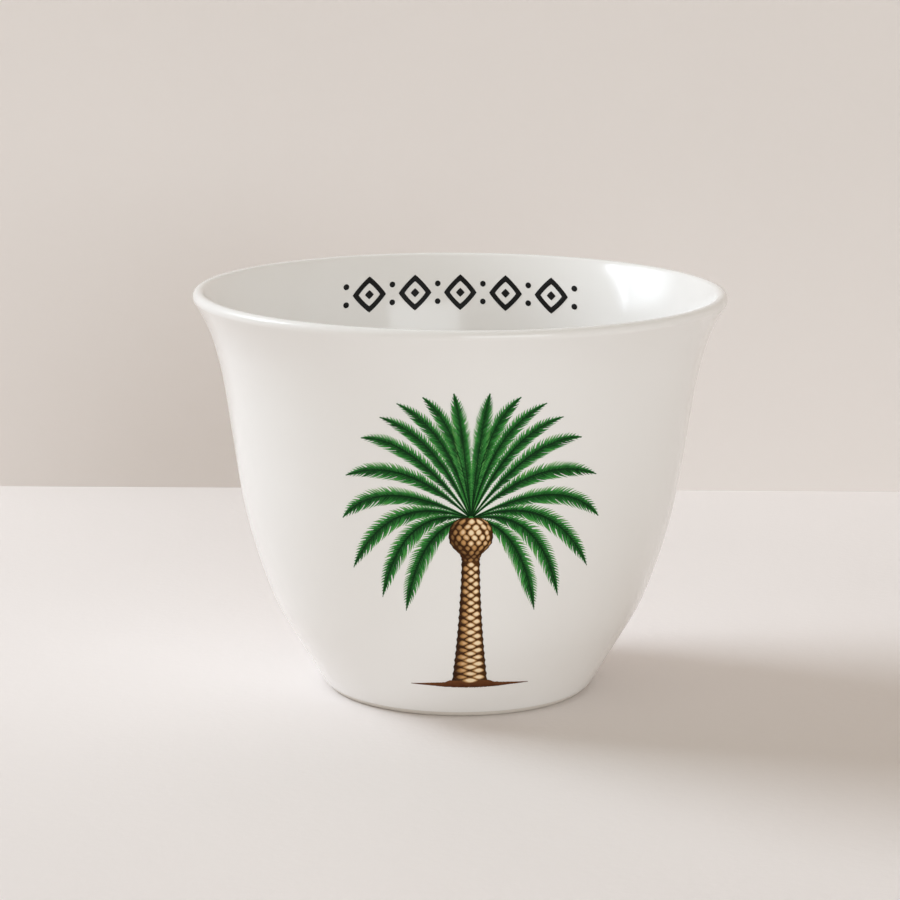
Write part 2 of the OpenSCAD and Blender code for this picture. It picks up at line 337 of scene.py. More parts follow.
class PalmPrint(bpy.types.PropertyGroup):
    """Sizes of the date palm in fired-on colours."""

    offset: length(
        "Offset",
        "Distance of the palm to the right of the cup's middle",
        1.5 * MM,
        min=-3 * MM,
        max=3 * MM,
    )
    layer: length(
        "Colour thickness", "Thickness of one layer of fired-on colour", 0.06 * MM, min=0.02 * MM
    )
    crown_height: length(
        "Crown height", "Height of the point that the fronds spring from", 28.9 * MM
    )
    fan_reach: length("Fan reach", "Reach of the fronds to each side", 16.1 * MM)
    fan_rise: length("Fan rise", "Rise of the tallest frond above the crown", 16.4 * MM)
    frond_width: length("Frond width", "Width of a frond across its leaflets", 2.4 * MM)
    rib_width: length("Rib width", "Width of the dark rib along a frond", 0.36 * MM)
    leaflets: IntProperty(
        name="Leaflets",
        description="Leaflets along each side of a frond",
        default=46,
        min=8,
        max=80,
    )
    boot_width: length("Boot width", "Width of the round boot under the crown", 5.6 * MM)
    boot_height: length("Boot height", "Height of the boot", 5.8 * MM)
    boot_rise: length("Boot rise", "Height of the boot's top above the crown's point", 0.2 * MM)
    trunk_top_width: length(
        "Trunk width under the boot", "Width of the trunk under the boot", 2.3 * MM
    )
    trunk_foot_width: length(
        "Trunk width at the ground", "Width of the trunk where it meets the ground", 4.6 * MM
    )
    row_height: length("Scale row height", "Height of one row of trunk scales", 1.06 * MM)
    plate_width: length("Boot plate width", "Width of one plate on the boot", 1.15 * MM)
    scale_gap: length("Scale gap", "Gap between two scales", 0.17 * MM)
    ground_height: length("Ground height", "Height of the ground line above the table", 5.4 * MM)
    ground_width: length("Ground width", "Width of the patch of ground", 15 * MM)
    ground_thickness: length(
        "Ground thickness", "Thickness of the patch of ground at its middle", 1.1 * MM
    )


class InnerOrnament(bpy.types.PropertyGroup):
    """Sizes of the row of lozenges inside the cup."""

    drop: length("Drop", "Distance from the top of the lip down to the middle of the row", 5.2 * MM)
    pitch: length("Pitch", "Distance from one lozenge to the next", 6.4 * MM)
    lozenge_width: length("Lozenge width", "Width of a lozenge", 4.6 * MM)
    lozenge_height: length("Lozenge height", "Height of a lozenge", 4.8 * MM)
    line_width: length("Line width", "Width of a drawn line", 0.6 * MM)
    lozenges: IntProperty(
        name="Lozenges",
        description="Lozenges in the row",
        default=5,
        min=3,
        max=5,
    )


class CupFinish(bpy.types.PropertyGroup):
    """Colours of the glaze, the bare porcelain and the fired-on print."""

    glaze: colour("Glaze", "White porcelain seen through its clear glaze", (0.735, 0.73, 0.725))
    glaze_pool: colour("Pooled glaze", "Glaze where it lies a little thicker", (0.7, 0.7, 0.7))
    bare: colour("Bare porcelain", "Fired porcelain without glaze", (0.74, 0.7, 0.64))
    bare_worn: colour(
        "Worn porcelain", "Bare porcelain where it rubs on the table", (0.52, 0.47, 0.4)
    )
    leaf_dark: colour("Leaf, dark", "Green of a leaflet next to its rib", (0.0003, 0.034, 0.004))
    leaf_middle: colour("Leaf, middle", "Green of the middle of a leaflet", (0.045, 0.295, 0.052))
    leaf_light: colour("Leaf, light", "Green of a leaflet's tip", (0.24, 0.47, 0.14))
    rib: colour("Rib", "Dark green of the ribs", (0.0, 0.026, 0.003))
    bark_dark: colour("Bark, dark", "Brown between the scales", (0.035, 0.012, 0.002))
    bark_light: colour(
        "Bark, light", "Brown between the scales, on the lit side", (0.1, 0.036, 0.006)
    )
    scale_dark: colour("Scale, dark", "Edge of a scale", (0.055, 0.018, 0.003))
    scale_middle: colour("Scale, middle", "Colour of most of a scale", (0.56, 0.3, 0.11))
    scale_light: colour("Scale, light", "Highlight of a scale", (0.97, 0.78, 0.52))
    ground_dark: colour("Ground, dark", "Darkest brown of the ground", (0.07, 0.018, 0.004))
    ground_light: colour("Ground, light", "Lightest brown of the ground", (0.17, 0.06, 0.018))
    black: colour("Black", "Black of the ornament", (0.006, 0.006, 0.006))


class StudioSet(bpy.types.PropertyGroup):
    """The floor, the wall behind it, the lights and the camera."""

    floor: colour("Floor", "Colour of the floor", (0.88, 0.83, 0.805))
    wall: colour("Wall", "Colour of the wall", (0.915, 0.872, 0.848))
    wall_distance: length(
        "Wall distance", "Distance from the cup's axis back to the wall", 120 * MM
    )
    key_power: FloatProperty(
        name="Key light",
        description="Power of the soft light at the left",
        default=1.8,
        unit="POWER",
    )
    fill_power: FloatProperty(
        name="Fill light",
        description="Power of the large light in front",
        default=6.5,
        unit="POWER",
    )
    ambient: FloatProperty(
        name="Ambient light",
        description="Strength of the even light from all round",
        default=0.385,
    )


def unit_vectors(v):
    """The vectors in an array, each divided by its own length."""
    return v / np.linalg.norm(v, axis=-1, keepdims=True)


def right_of(v):
    """The drawing directions in an array turned a quarter clockwise: (x, z) becomes (z, -x)."""
    return np.stack([v[..., 1], -v[..., 0]], axis=-1)


def arc(centre, radius, start, end, count):
    """Points of an arc: centre + radius * (cos a, sin a), with a from start to end."""
    a = np.linspace(start, end, count)
    return np.stack([centre[0] + radius * np.cos(a), centre[1] + radius * np.sin(a)], axis=1)


def full_turn(count):
    """Evenly spaced angles over a full turn."""
    return np.arange(count) * 2 * math.pi / count


def superellipse(a, power):
    """Points of |x|^power + |z|^power = 1 in the directions a."""
    x, z = np.cos(a), np.sin(a)
    return np.sign(x) * np.abs(x) ** (2 / power), np.sign(z) * np.abs(z) ** (2 / power)


def disc(radius, height):
    """Outline of a flat disc, from the axis to just before its edge."""
    return np.stack([np.linspace(0, radius, ARC_RINGS), np.full(ARC_RINGS, height)], axis=1)[:-1]


def there_and_back(values, axis=-1):
    """An array followed by its own reverse, for the top and the underside of a cross-section."""
    return np.concatenate([values, np.flip(values, axis)], axis=axis)


def flat_lift(top, layer):
    """Lifts round a flat cross-section: its top's, and those of its underside, which is sunk."""
    return np.concatenate([top, np.full(top.shape, SUNK_SHARE * layer)], axis=-1)


def ridge_section(line, right):
    """Places round a ridged cross-section: three on top from left to right, then two below."""
    return np.stack([line - right, line, line + right, line + right, line - right], axis=-2)


class WallLine:
    """A wall as arrays of height, radius and lean from upright, for points laid on it.

    side is -1 for the front half and 1 for the back half, and hand is 1 where a print lies on
    the outside and -1 where it lies on the inside. offset is the place in X of the print's
    middle.
    """

    def __init__(self, radius, height, lean, side, hand, offset):
        self.radius, self.height, self.lean = radius, height, lean
        self.side, self.hand, self.offset = side, hand, offset

    def place(self, x, z, lift):
        """Points at drawing places x, z, raised from the wall by lift.

        With r and a the wall's radius and lean at z, the point on the wall is
        (x, side * sqrt(r² - x²), z) and its outward normal is (x/r cos a, y/r cos a, -sin a).
        """
        x = x + self.offset
        r = np.interp(z, self.height, self.radius)
        a = np.interp(z, self.height, self.lean)
        y = self.side * np.sqrt(np.maximum(r * r - x * x, 0))
        normal = np.stack([x / r * np.cos(a), y / r * np.cos(a), -np.sin(a)], axis=-1)
        return np.stack([x, y, z], axis=-1) + (self.hand * lift)[..., None] * normal

    def lay(self, drawn, lift):
        """The same for drawing places given as pairs."""
        return self.place(drawn[..., 0], drawn[..., 1], lift)


class CupLines:
    """The cup's section worked out from its sizes: the outer wall, the inner wall and the foot.

    The sine of the outer wall's lean runs in straight lines between the stations, so that each
    stretch is an arc. The radius is the foot's plus the running sum of tan(lean) * rise, widened
    by one factor so that the wall ends on the lip's circle.
    """

    def __init__(self, shape):
        self.shape = shape
        rim, lip = shape.rim_width / 2, shape.lip_radius
        self.foot = shape.foot_width / 2
        self.lip_centre = (rim - lip, shape.height - lip)
        top = self.lip_centre[1] - lip * math.sin(math.radians(LEANS[-1]))
        z = np.linspace(0, top, WALL_STEPS)
        sine = np.interp(z / top, STATION_SHARES, np.sin(np.radians(LEANS)))
        slope = sine / np.sqrt(1 - sine * sine)
        rise = np.diff(z) * (slope[1:] + slope[:-1]) / 2
        out = np.concatenate([[0], np.cumsum(rise)])
        self.lip_lean = math.radians(LEANS[-1])
        for _ in range(2):
            start = self.lip_centre[0] + lip * math.cos(self.lip_lean)
            spread = (start - self.foot) / out[-1]
            self.lip_lean = math.atan(spread * slope[-1])
        self.foot_lean = math.atan(spread * slope[0])
        self.z, self.r = z, self.foot + spread * out
        self.lean = np.arctan(spread * slope)
        self.bend = top * STATION_SHARES[1]
        thinning = (2 * lip - shape.wall_thickness) / (top - self.bend)
        self.thickness = shape.wall_thickness + thinning * (z - self.bend)

    def wall(self, depth):
        """Rings of the wall above its straight foot stretch, moved in from the outer surface by
        depth along the normal: (r - depth * cos a, z + depth * sin a)."""
        z = np.linspace(self.bend, self.z[-1], WALL_RINGS)
        r, a = np.interp(z, self.z, self.r), np.interp(z, self.z, self.lean)
        depth = np.interp(z, self.z, self.thickness) + depth if depth <= 0 else depth
        return np.stack([r - depth * np.cos(a), z + depth * np.sin(a)], axis=1)

    def cone(self, z, depth):
        """Radius of the straight foot stretch at height z, depth inside the outer surface."""
        return self.foot + z * math.tan(self.foot_lean) - depth / math.cos(self.foot_lean)

    def inside(self, depth):
        """The inner line from the middle of the floor up to the lip, depth under its surface:
        a flat floor, the hollow's arc tangent to floor and wall, and the inner wall."""
        shape = self.shape
        floor = shape.recess_depth + shape.floor_thickness
        bend = self.bend + shape.wall_thickness * math.sin(self.foot_lean)
        hollow = min(shape.hollow_radius, (bend - floor) / (1 - math.sin(self.foot_lean)))
        height = floor + hollow
        radius = self.cone(height, shape.wall_thickness) - hollow / math.cos(self.foot_lean)
        return np.concatenate(
            [
                disc(radius, floor - depth),
                arc((radius, height), hollow + depth, -math.pi / 2, -self.foot_lean, HOLLOW_RINGS),
                self.wall(-depth),
            ]
        )

    def lip(self, depth):
        """The lip's half circle from the outer wall over to the inner wall, depth inside it."""
        start, radius = -self.lip_lean, self.shape.lip_radius - depth
        return arc(self.lip_centre, radius, start, start + math.pi, 3 * ARC_RINGS)

    def recess(self, depth):
        """The recess under the foot, from its middle out and down, with depth of glaze on it."""
        shape = self.shape
        radius = self.foot - shape.ring_width
        corner = (radius - shape.edge_radius, shape.recess_depth - shape.edge_radius)
        turn = arc(corner, shape.edge_radius - depth, math.pi / 2, 0, ARC_RINGS)
        return np.concatenate([disc(corner[0], shape.recess_depth - depth), turn])

    def outer_wall(self, offset):
        """The outer surface as a wall to lay the palm on."""
        return WallLine(self.r, self.z, self.lean, side=-1, hand=1, offset=offset)

    def inner_wall(self):
        """The inner surface as a wall to lay the ornament on."""
        above = self.z >= self.bend
        r, z = self.r[above], self.z[above]
        a, depth = self.lean[above], self.thickness[above]
        r, z = r - depth * np.cos(a), z + depth * np.sin(a)
        lean = np.arctan2(np.gradient(r), np.gradient(z))
        return WallLine(r, z, lean, side=1, hand=-1, offset=0)


def new_object(name, data):
    """A new object with this data, in the scene."""
    piece = bpy.data.objects.new(name, data)
    bpy.context.scene.collection.objects.link(piece)
    return piece


def closed_mesh(name, rings, ends=None, **values):
    """A mesh of like closed skins, from rings of points with the shape (skins, levels, around, 3).

    Where ends gives each skin's first and last point, the levels run from one to the other.
    Otherwise the last level joins the first. Faces point outwards where the direction round a
    ring, crossed with the direction from level to level, points outwards. values are numbers
    given to the points of the rings, and the end points take the mean of the ring beside them.
    """
    skins, levels, around, _ = rings.shape
    points = rings.reshape(skins, levels * around, 3)
    if ends is not None:
        points = np.concatenate([points, np.stack(ends, axis=1)], axis=1)
    turn = (np.arange(around) + 1) % around
    low = np.arange(levels if ends is None else levels - 1)
    high = (low + 1) % levels
    low, high = low[:, None] * around, high[:, None] * around
    flat = np.arange(around)
    quads = np.stack([low + flat, low + turn, high + turn, high + flat], axis=-1).reshape(-1, 4)
    first = np.arange(skins)[:, None, None] * points.shape[1]
    faces = (quads[None] + first).reshape(-1, 4).tolist()
    if ends is not None:
        bottom, top = levels * around, levels * around + 1
        last = (levels - 1) * around
        caps = np.concatenate(
            [
                np.stack([np.full(around, bottom), turn, flat], axis=1),
                np.stack([np.full(around, top), last + flat, last + turn], axis=1),
            ]
        )
        faces += (caps[None] + first).reshape(-1, 3).tolist()
    mesh = bpy.data.meshes.new(name)
    mesh.from_pydata(points.reshape(-1, 3).tolist(), [], faces)
    mesh.polygons.foreach_set("use_smooth", np.ones(len(mesh.polygons), bool))
    for key, value in values.items():
        value = np.broadcast_to(value, rings.shape[:3])
        spread = value.reshape(skins, -1)
        if ends is not None:
            spread = np.concatenate([spread, value[:, [0, -1]].mean(2)], axis=1)
        attribute = mesh.attributes.new(key, "FLOAT", "POINT")
        attribute.data.foreach_set("value", spread.astype(np.float32).ravel())
    mesh.update()
    return new_object(name, mesh)


def turned(name, outline):
    """A surface of revolution, closed on the axis at both ends: each outline point (r, z) is
    carried round as (r cos a, r sin a, z)."""
    keep = np.concatenate([[True], np.linalg.norm(np.diff(outline, axis=0), axis=1) > LEAST_STEP])
    outline = outline[keep]
    a = full_turn(SEGMENTS)
    r, z = outline[1:-1, 0, None], outline[1:-1, 1, None]
    rings = np.stack([r * np.cos(a), r * np.sin(a), np.broadcast_to(z, (len(r), SEGMENTS))], axis=-1)
    ends = [np.array([[0, 0, outline[0, 1]]]), np.array([[0, 0, outline[-1, 1]]])]
    return closed_mesh(name, rings[None], ends)


def dress(piece, material, slot, *nodes):
    """The piece takes a material, stands for the CAD nodes and rides on the cup. The slot argument
    is not used.
    """
    piece.data.materials.append(material)
    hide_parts(*nodes)
    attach(piece, "root")
    return piece


def add(tree, kind, x=0, y=0, **settings):
    """A node of a kind in a tree, with its own settings given by name."""
    node = tree.nodes.new(kind)
    node.location = (x, y)
    for key, value in settings.items():
        setattr(node, key, value)
    return node


def join(tree, *links):
    """Links in a tree, each given as a node, its output, the next node and that one's input."""
    for source, output, target, entry in links:
        tree.links.new(source.outputs[output], target.inputs[entry])


def map_range(tree, x, y, limits, **settings):
    """A node that carries the first two limits over to the last two."""
    node = add(tree, "ShaderNodeMapRange", x, y, **settings)
    for key, value in zip(("From Min", "From Max", "To Min", "To Max"), limits):
        node.inputs[key].default_value = value
    return node


def ramp(tree, stops, **settings):
    """A colour ramp through stops, each a position and a colour."""
    node = add(tree, "ShaderNodeValToRGB", **settings)
    elements = node.color_ramp.elements
    elements[0].position, elements[1].position = stops[0][0], stops[-1][0]
    for position, _ in stops[1:-1]:
        elements.new(position)
    for element, (_, shown) in zip(elements, stops):
        element.color = (*shown, 1)
    return node


def fired_surface():
    """The shared group of every fired surface: a mask of slow variation, a roughness between two
    limits and the normal of a faintly waved and grained surface."""
    name = "fired_surface"
    if name in bpy.data.node_groups:
        return bpy.data.node_groups[name]
    tree = bpy.data.node_groups.new(name, "ShaderNodeTree")
    face = tree.interface
    for socket, value in (
        ("Wave scale", 90.0),
        ("Wave height", 0.00001),
        ("Grain scale", 2500.0),
        ("Grain height", 0.000001),
        ("Smoothest", 0.15),
        ("Roughest", 0.25),
    ):
        face.new_socket(socket, in_out="INPUT", socket_type="NodeSocketFloat").default_value = value
    face.new_socket("Mask", in_out="OUTPUT", socket_type="NodeSocketFloat")
    face.new_socket("Roughness", in_out="OUTPUT", socket_type="NodeSocketFloat")
    face.new_socket("Normal", in_out="OUTPUT", socket_type="NodeSocketVector")
    source = add(tree, "NodeGroupInput", -900)
    place = add(tree, "ShaderNodeTexCoord", -900, 300)
    wave = add(tree, "ShaderNodeTexNoise", -600, 300)
    grain = add(tree, "ShaderNodeTexNoise", -600, -100)
    slow = add(tree, "ShaderNodeBump", -300, 100)
    fine = add(tree, "ShaderNodeBump", -100, -100)
    rough = add(tree, "ShaderNodeMapRange", -300, 400)
    target = add(tree, "NodeGroupOutput", 200)
    wave.inputs["Detail"].default_value = 2
    grain.inputs["Detail"].default_value = 3
    for texture, bump, key in ((wave, slow, "Wave"), (grain, fine, "Grain")):
        join(
            tree,
            (place, "Object", texture, "Vector"),
            (source, key + " scale", texture, "Scale"),
            (texture, "Fac", bump, "Height"),
            (source, key + " height", bump, "Distance"),
        )
    join(
        tree,
        (slow, "Normal", fine, "Normal"),
        (wave, "Fac", rough, "Value"),
        (source, "Smoothest", rough, "To Min"),
        (source, "Roughest", rough, "To Max"),
        (wave, "Fac", target, "Mask"),
        (rough, "Result", target, "Roughness"),
        (fine, "Normal", target, "Normal"),
    )
    return tree


def new_material(name, **group_values):
    """A material whose roughness and normal come from the shared group, with its own values.
    Gives the material, its tree, its shader and the group node."""
    material = bpy.data.materials.new(name)
    material.use_nodes = True
    tree = material.node_tree
    shader = tree.nodes["Principled BSDF"]
    group = add(tree, "ShaderNodeGroup", -500, -200, node_tree=fired_surface())
    for key, value in group_values.items():
        group.inputs[key.replace("_", " ").capitalize()].default_value = value
    join(tree, (group, "Roughness", shader, "Roughness"), (group, "Normal", shader, "Normal"))
    return material, tree, shader, group


def mix_colours(tree, factor, first, second):
    """A mix of two colours by a factor socket."""
    node = add(tree, "ShaderNodeMix", -200, 200, data_type="RGBA")
    tree.links.new(factor, node.inputs["Factor"])
    for key, value in (("A", first), ("B", second)):
        socket = next(s for s in node.inputs if s.name == key and s.type == "RGBA")
        socket.default_value = (*value, 1)
    return next(s for s in node.outputs if s.type == "RGBA")


def height_material(name, usual, changed, limits, interpolation, **group_values):
    """A ceramic whose usual colour gives way to a changed one by height. limits are two heights
    and the changed colour's shares there, and slow variation scales them. Also gives its shader."""
    material, tree, shader, group = new_material(name, **group_values)
    place = add(tree, "ShaderNodeTexCoord", -1100, 200)
    split = add(tree, "ShaderNodeSeparateXYZ", -900, 200)
    share = map_range(tree, -700, 200, limits, interpolation_type=interpolation)
    both = add(tree, "ShaderNodeMath", -500, 200, operation="MULTIPLY")
    join(
        tree,
        (place, "Object", split, "Vector"),
        (split, "Z", share, "Value"),
        (share, "Result", both, 0),
        (group, "Mask", both, 1),
    )
    mixed = mix_colours(tree, both.outputs["Value"], usual, changed)
    tree.links.new(mixed, shader.inputs["Base Color"])
    return material, shader


def glaze_material(finish, shape):
    """Clear glaze over white porcelain: even gloss with a faint wave, a little greyer where the
    glaze pools in the hollow and above the foot."""
    name = "glaze"
    if name in bpy.data.materials:
        return bpy.data.materials[name]
    pool = (shape.bare_height, shape.height / 4, 0.9, 0.1)
    material, shader = height_material(
        name, finish.glaze, finish.glaze_pool, pool, "SMOOTHSTEP",
        wave_scale=70, wave_height=0.03 * MM, grain_scale=900, grain_height=0.0008 * MM,
        smoothest=0.27, roughest=0.33,
    )
    shader.inputs["IOR"].default_value = GLAZE_IOR
    return material


def bare_material(finish, shape):
    """Fired porcelain without glaze: matt and finely grained, darker where it rubs."""
    material, _ = height_material(
        "bare_porcelain", finish.bare, finish.bare_worn, (0, shape.edge_radius, 0.9, 0), "LINEAR",
        wave_scale=900, wave_height=0.01 * MM, grain_scale=9000, grain_height=0.004 * MM,
        smoothest=0.6, roughest=0.8,
    )
    return material


def print_material(name, stops, brush_scale, brush):
    """Fired-on colour: a ramp over the shade painted on each stroke, moved by the stroke's own
    tint and by fine brush marks."""
    material, tree, shader, _ = new_material(
        name, wave_scale=400, wave_height=0.004 * MM, grain_scale=6000, grain_height=0.001 * MM,
        smoothest=0.35, roughest=0.5,
    )
    shader.inputs["Specular IOR Level"].default_value = PRINT_GLOSS
    shade = add(tree, "ShaderNodeAttribute", -1300, 300, attribute_name="shade")
    tint = add(tree, "ShaderNodeAttribute", -1300, 100, attribute_name="tint")
    place = add(tree, "ShaderNodeTexCoord", -1500, -100)
    marks = add(tree, "ShaderNodeTexNoise", -1300, -100)
    marks.inputs["Scale"].default_value = brush_scale
    marks.inputs["Detail"].default_value = 4
    moved = map_range(tree, -1100, -100, (0, 1, -brush, brush))
    tinted = add(tree, "ShaderNodeMath", -1100, 200, operation="ADD")
    total = add(tree, "ShaderNodeMath", -900, 100, operation="ADD")
    colours = ramp(tree, stops, location=(-700, 200))
    join(
        tree,
        (place, "Object", marks, "Vector"),
        (marks, "Fac", moved, "Value"),
        (shade, "Fac", tinted, 0),
        (tint, "Fac", tinted, 1),
        (tinted, "Value", total, 0),
        (moved, "Result", total, 1),
        (total, "Value", colours, "Fac"),
        (colours, "Color", shader, "Base Color"),
    )
    return material


def build_body(scene):
    """The fired body: recess, foot ring, wall, lip and floor, one glaze thickness inside."""
    shape, lines = scene.cup_shape, CupLines(scene.cup_shape)
    edge, coat = shape.edge_radius, shape.glaze_thickness
    radius = lines.foot - shape.ring_width
    edge_radius = lines.cone(edge, coat) - edge / math.cos(lines.foot_lean)
    outline = np.concatenate(
        [
            lines.recess(0),
            arc((radius + edge, edge), edge, math.pi, 1.5 * math.pi, ARC_RINGS),
            arc((edge_radius, edge), edge, 1.5 * math.pi, 2 * math.pi - lines.foot_lean, ARC_RINGS),
            lines.wall(coat),
            lines.lip(coat),
            lines.inside(coat)[::-1],
        ]
    )
    piece = turned("fired_body", outline)
    dress(piece, bare_material(scene.cup_finish, shape), "porcelain", "porcelain_body")


def build_glaze(scene):
    """The coat of glaze over the inside, the lip and the outside, with a rounded lower edge."""
    shape, lines = scene.cup_shape, CupLines(scene.cup_shape)
    coat = shape.glaze_thickness
    a = np.linspace(math.pi / 2, 0, ARC_RINGS)[:, None]
    along = np.array([math.sin(lines.foot_lean), math.cos(lines.foot_lean)])
    out = np.array([along[1], -along[0]])
    end = np.array([lines.cone(shape.bare_height, coat), shape.bare_height])
    nose = end + coat * along + coat * (np.cos(a) * out - np.sin(a) * along)
    hidden = np.concatenate([lines.inside(coat), lines.lip(coat)[::-1], lines.wall(coat)[::-1]])
    outline = np.concatenate(
        [hidden, nose, outer_surface(lines), lines.lip(0), lines.inside(0)[::-1]]
    )
    piece = turned("glaze_skin", outline)
    dress(piece, glaze_material(scene.cup_finish, shape), "glaze", "glaze_coat")


def outer_surface(lines):
    """The glazed outer wall from just above its lower edge up to the lip."""
    low = lines.shape.bare_height + 2 * lines.shape.glaze_thickness
    straight = np.linspace(low, lines.bend, ARC_RINGS)
    z = np.concatenate([straight, np.linspace(lines.bend, lines.z[-1], WALL_RINGS)])
    return np.stack([np.interp(z, lines.z, lines.r), z], axis=1)


def build_foot_glaze(scene):
    """The patch of glaze in the recess under the foot."""
    shape, lines = scene.cup_shape, CupLines(scene.cup_shape)
    coat, radius = shape.glaze_thickness, lines.foot - shape.ring_width
    nose = arc((radius, shape.bare_height + coat), coat, math.pi, 1.5 * math.pi, ARC_RINGS)
    outline = np.concatenate([lines.recess(coat), nose, lines.recess(0)[::-1]])
    piece = turned("recess_glaze", outline)
    dress(piece, glaze_material(scene.cup_finish, shape), "glaze", "foot_glaze")


def palm_and_wall(scene):
    """The palm's sizes and the wall that it is laid on."""
    palm = scene.palm_print
    return palm, CupLines(scene.cup_shape).outer_wall(palm.offset)


def rib_points(palm, t):
    """Places and headings of all the ribs at the shares t, an array (fronds, count).

    Each rib leaves the crown C towards its bend B and ends at its tip T:
    P(t) = C + 2 t (1 - t) B + t² T, with the heading (1 - t) B + t (T - B). The left half's ribs
    mirror the right half's.
    """
    size = np.array([palm.fan_reach, palm.fan_rise])
    tip = np.stack([TIP_X_SHARES, TIP_Z_SHARES], axis=1) * size
    bend = np.stack([BEND_X_SHARES, BEND_Z_SHARES], axis=1) * size
    mirror = np.array([-1, 1])
    tip = np.concatenate([tip, tip * mirror])[:, None]
    bend = np.concatenate([bend, bend * mirror])[:, None]
    t = t[..., None]
    place = np.array([0, palm.crown_height]) + 2 * t * (1 - t) * bend + t * t * tip
    return place, unit_vectors((1 - t) * bend + t * (tip - bend))


def rib_runs(palm):
    """Shares t along the ribs, and how far each rib has run there, as lengths."""
    t = np.linspace(0, 1, 240)
    place, _ = rib_points(palm, np.broadcast_to(t, (2 * len(TIP_X_SHARES), len(t))))
    step = np.linalg.norm(np.diff(place, axis=1), axis=-1)
    return t, np.concatenate([np.zeros((len(step), 1)), np.cumsum(step, axis=1)], axis=1)


def even_shares(palm, shares):
    """The t at which each rib has run the given shares of its own length."""
    t, run = rib_runs(palm)
    return np.stack([np.interp(shares, row / row[-1], t) for row in run])


def frond_half(palm, t):
    """Half width of a frond: widest a little past its middle, full up to its tip, and closed
    there to a point."""
    power = POINT_POWER - TIP_FULLNESS * t
    return palm.frond_width / 2 * np.sin(math.pi * t**WIDEST_POWER) ** power * (1 - t**TIP_POWER)


def slim(shares):
    """Each frond's width at shares of its length, as a share of the usual width there."""
    least, width = np.array(2 * SLIM_SHARES)[:, None], np.array(2 * WIDTH_SHARES)[:, None]
    return width * (least + (1 - least) * np.minimum(shares / SLIM_UP_TO, 1))


def build_fronds(scene):
    """The leaflets of all fronds, each a thin closed blade with a ridge.

    A leaflet's tip E lies on the frond's outline and its root R further back on the rib, so that
    it makes an angle with the rib that closes towards the frond's tip. Its line is the bow
    (1 - u)² R + 2 u (1 - u) M + u² E, with M beside the middle of R and E, and its half width
    falls as 1 - u². The side that a frond bends away from takes the wider angle.
    """
    palm, wall = palm_and_wall(scene)
    dice = np.random.default_rng(LEAFLET_SEED)
    fronds, count = 2 * len(TIP_X_SHARES), palm.leaflets
    shares, run = rib_runs(palm)
    along = np.linspace(*LEAFLETS_RUN, count)
    t_end = even_shares(palm, along)
    half = (frond_half(palm, t_end) * slim(along))[:, None]
    half = half * dice.uniform(*REACH_SPREAD, (fronds, 2, count))
    hand = np.array([1, -1])[None, :, None, None]
    away = np.where(np.arange(fronds) < fronds / 2, -1, 1)[:, None, None] * hand[..., 0]
    angle = np.radians(BLADE_ANGLE - BLADE_CLOSING * t_end[:, None] + BLADE_OPENING * away)
    back = half / np.tan(angle * dice.uniform(*ANGLE_SPREAD, half.shape))
    at_end = np.stack([np.interp(row, shares, r) for row, r in zip(t_end, run)])[:, None]
    at_root = np.maximum(at_end - back, 0)
    t_root = np.stack([np.interp(row, r, shares) for row, r in zip(at_root, run)])
    tip, heading = rib_points(palm, t_end)
    across = hand * right_of(heading)[:, None]
    end = tip[:, None] + across * half[..., None]
    root, _ = rib_points(palm, t_root.reshape(fronds, -1))
    root = root.reshape(end.shape)
    bow = (root + end) / 2 + BLADE_BOW * hand * right_of(end - root)
    u = np.array(BLADE_PLACES)
    levels, v = len(u), u[:, None]
    r, m, e = (p[..., None, :] for p in (root, bow, end))
    line = (1 - v) ** 2 * r + 2 * v * (1 - v) * m + v * v * e
    way = unit_vectors((1 - v) * (m - r) + v * (e - m))
    pitch = (run[:, -1] / count)[:, None, None]
    blade = BLADE_HALF * pitch * dice.uniform(*WIDTH_SPREAD, half.shape)
    blade = blade * np.clip(BLADE_FULL * half / palm.frond_width, BLADE_LEAST, 1)
    blade = blade[..., None] * (1 - u**2)
    right = right_of(way) * blade[..., None]
    storey = palm.layer * (LEAFLET_STOREY - STOREY_STEP * FROND_ORDER[:, None, None])
    storey = storey + dice.uniform(0, STOREY_SPREAD, half.shape) * palm.layer
    storey = np.broadcast_to(storey[..., None], half.shape + (levels,))
    ridge = storey + LEAFLET_RIDGE * palm.layer
    sunk = np.full(ridge.shape, SUNK_SHARE * palm.layer)
    lift = np.stack([storey, ridge, storey, sunk, sunk], axis=-1)
    skins = fronds * 2 * count
    points = wall.lay(ridge_section(line, right), lift).reshape(skins, levels, 5, 3)
    low, high = (wall.lay(p, storey[..., 0]).reshape(skins, 3) for p in (root, end))
    upper = across[..., 1] + 0 * half
    reach = SHORT_TONE + (1 - SHORT_TONE) * np.clip(half / (palm.frond_width / 2), 0, 1)
    tone = ROOT_TONE + TIP_TONE * (u * reach[..., None]) ** TONE_POWER
    tone = tone + UPPER_TONE * upper[..., None] * u
    edge = tone + EDGE_TONE
    shade = np.stack([edge, tone + RIDGE_TONE, edge, tone, tone], axis=-1)
    tint = dice.uniform(-TINT_SPREAD, TINT_SPREAD, half.shape)[..., None, None] * u[:, None]
    tint = tint + 0 * shade
    piece = closed_mesh(
        "palm_leaflets",
        points,
        (low, high),
        shade=shade.reshape(skins, levels, 5),
        tint=tint.reshape(skins, levels, 5),
    )
    finish = scene.cup_finish
    stops = (
        (0.08, finish.leaf_dark),
        (0.38, finish.leaf_middle),
        (0.88, finish.leaf_light),
    )
    material = print_material("leaf_green", stops, brush_scale=1500, brush=0.12)
    dress(piece, material, "frond_green", "palm_fronds")
    dress(frond_bases(palm, wall), material, "frond_green", "palm_fronds")


